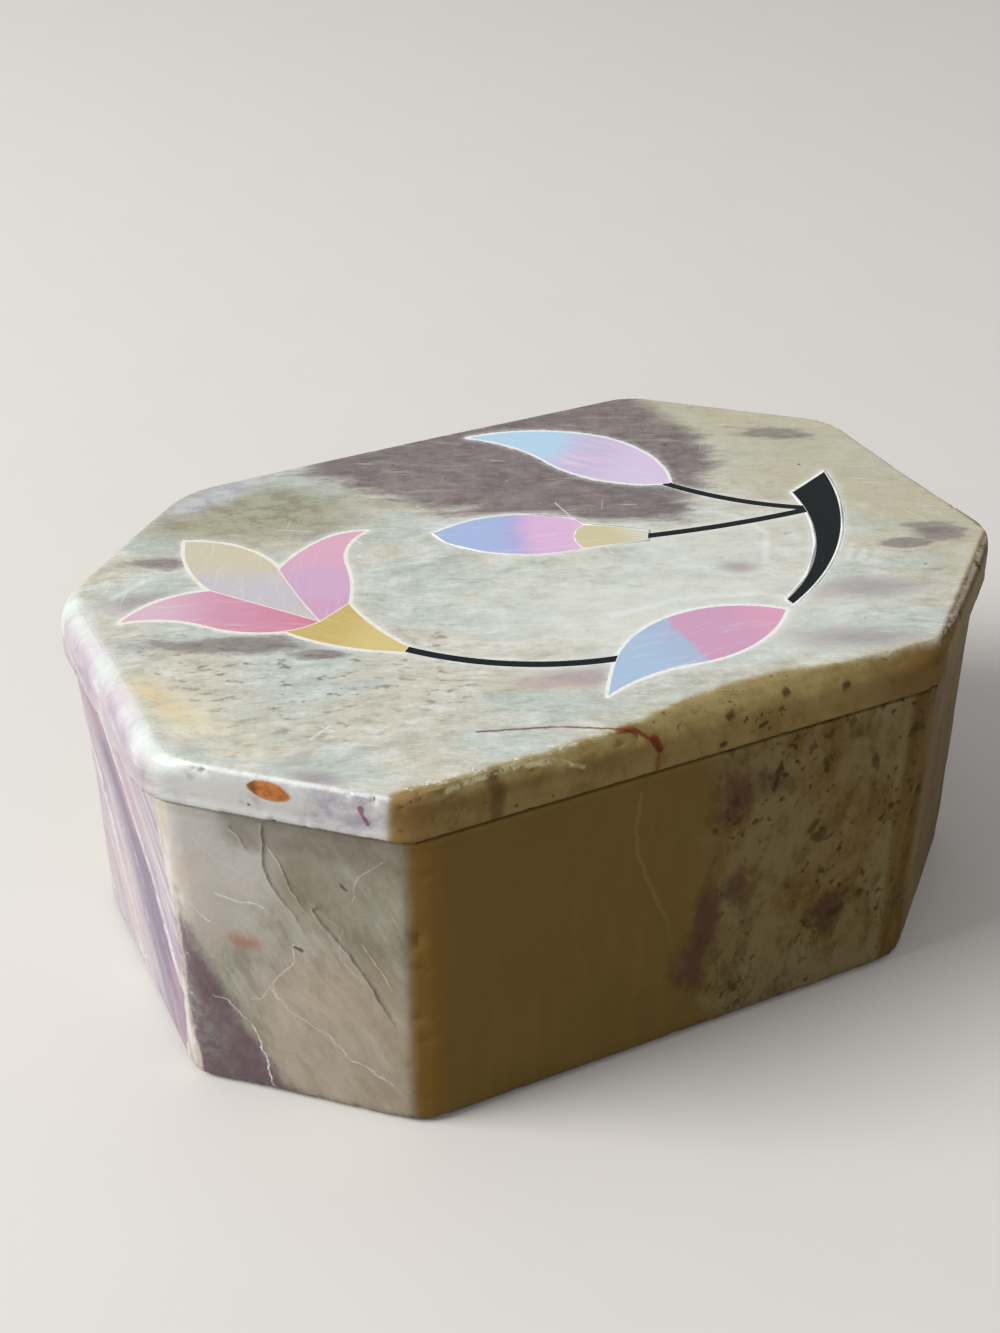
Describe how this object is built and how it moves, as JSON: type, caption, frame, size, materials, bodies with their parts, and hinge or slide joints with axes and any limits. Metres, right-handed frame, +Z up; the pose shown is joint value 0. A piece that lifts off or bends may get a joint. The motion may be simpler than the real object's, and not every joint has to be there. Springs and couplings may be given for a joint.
{
  "type": "trinket box",
  "caption": "Small octagonal carved soapstone trinket box with a lift-off lid inlaid with a flower spray in dyed shell and black stone.",
  "frame": {"origin": "middle of the underside of the base, on the surface that the box stands on", "axes": "+X along the box, from the flower towards the horn-shaped stem; +Y from the front long side to the back one; +Z up"},
  "size_m": [0.1, 0.0682, 0.0418],
  "materials": {
    "soapstone": "satin",
    "black_stone": "polished",
    "white_cement": "matte",
    "rose_shell": "gloss",
    "pearl_shell": "gloss",
    "pink_shell": "gloss",
    "ochre_shell": "gloss",
    "blue_rose_shell": "gloss",
    "cream_shell": "gloss"
  },
  "bodies": {
    "base": {"base": "soapstone"},
    "lid": {"lid": "soapstone", "petal_left": "rose_shell", "petal_middle": "pearl_shell", "petal_right": "pink_shell", "flower_calyx": "ochre_shell", "flower_stem": "black_stone", "lower_leaf": "blue_rose_shell", "main_stem": "black_stone", "middle_bud": "blue_rose_shell", "middle_bud_calyx": "cream_shell", "middle_bud_stem": "black_stone", "back_bud": "blue_rose_shell", "back_bud_stem": "black_stone", "flower_cement": "white_cement", "lower_leaf_cement": "white_cement", "main_stem_cement": "white_cement", "middle_bud_cement": "white_cement", "back_bud_cement": "white_cement"}
  },
  "joints": [
    {"name": "lid_lift", "type": "slide", "parent": "base", "child": "lid", "axis": [0, 0, 1], "range_m": [0, 0.06]}
  ]
}
